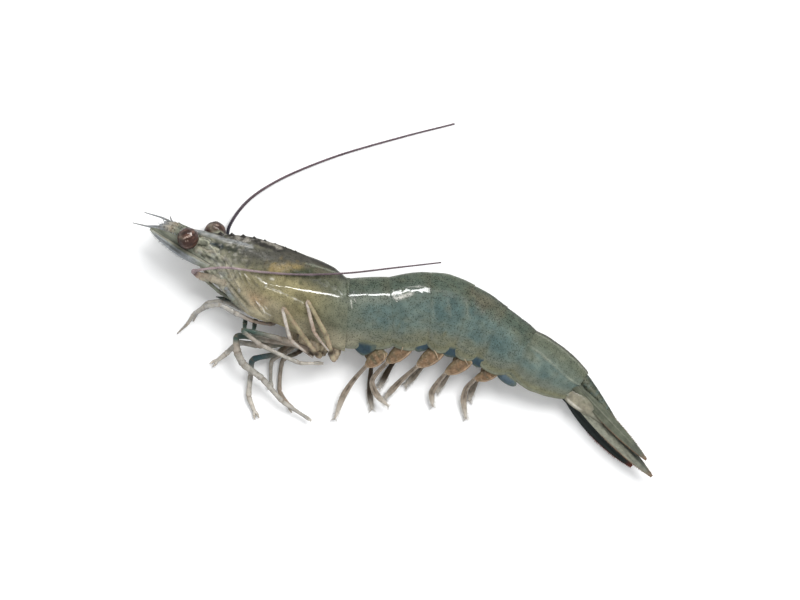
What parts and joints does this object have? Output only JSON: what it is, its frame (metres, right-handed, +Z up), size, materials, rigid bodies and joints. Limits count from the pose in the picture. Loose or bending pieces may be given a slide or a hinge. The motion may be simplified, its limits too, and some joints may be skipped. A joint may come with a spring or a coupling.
{
  "type": "raw whole shrimp",
  "caption": "Raw whole shrimp with its head on, lying on its side: ridged head shell, ringed curved abdomen, folded legs, swimming limbs, whip antennae and tail fan.",
  "frame": {"origin": "on the surface the shrimp lies on, under the middle of its box", "axes": "+X from head to tail along the head shell, +Y towards the animal's back, +Z up through its left side"},
  "size_m": [0.1558, 0.096, 0.0195],
  "materials": {
    "head_shell": "wet olive-grey shell with fine dark specks",
    "shell": "wet grey-green shell with fine dark specks",
    "tail_fan": "wet dark grey-green blades with red-brown edges",
    "limb": "wet pale translucent shell",
    "swimmer": "wet brown shell with pale edges",
    "whip": "mauve-brown, finely ringed",
    "eye": "glossy dark brown"
  },
  "bodies": {
    "root": {"carapace": "head_shell", "abdomen_1": "shell", "abdomen_2": "shell", "abdomen_3": "shell", "abdomen_4": "shell", "abdomen_5": "shell", "abdomen_6": "shell", "telson": "tail_fan", "uropod_exopod_left": "tail_fan", "uropod_endopod_left": "tail_fan", "eye_left": "eye", "antennal_scale_left": "limb", "antennule_left": "limb", "antenna_left": "whip", "maxilliped_left": "limb", "leg_left_1": "limb", "leg_left_2": "limb", "leg_left_3": "limb", "leg_left_4": "limb", "leg_left_5": "limb", "swimmeret_left_1": "swimmer", "swimmeret_left_2": "swimmer", "swimmeret_left_3": "swimmer", "swimmeret_left_4": "swimmer", "swimmeret_left_5": "swimmer", "uropod_exopod_right": "tail_fan", "uropod_endopod_right": "tail_fan", "eye_right": "eye", "antennal_scale_right": "limb", "antennule_right": "limb", "antenna_right": "whip", "maxilliped_right": "limb", "leg_right_1": "limb", "leg_right_2": "limb", "leg_right_3": "limb", "leg_right_4": "limb", "leg_right_5": "limb", "swimmeret_right_1": "swimmer", "swimmeret_right_2": "swimmer", "swimmeret_right_3": "swimmer", "swimmeret_right_4": "swimmer", "swimmeret_right_5": "swimmer"}
  },
  "joints": []
}
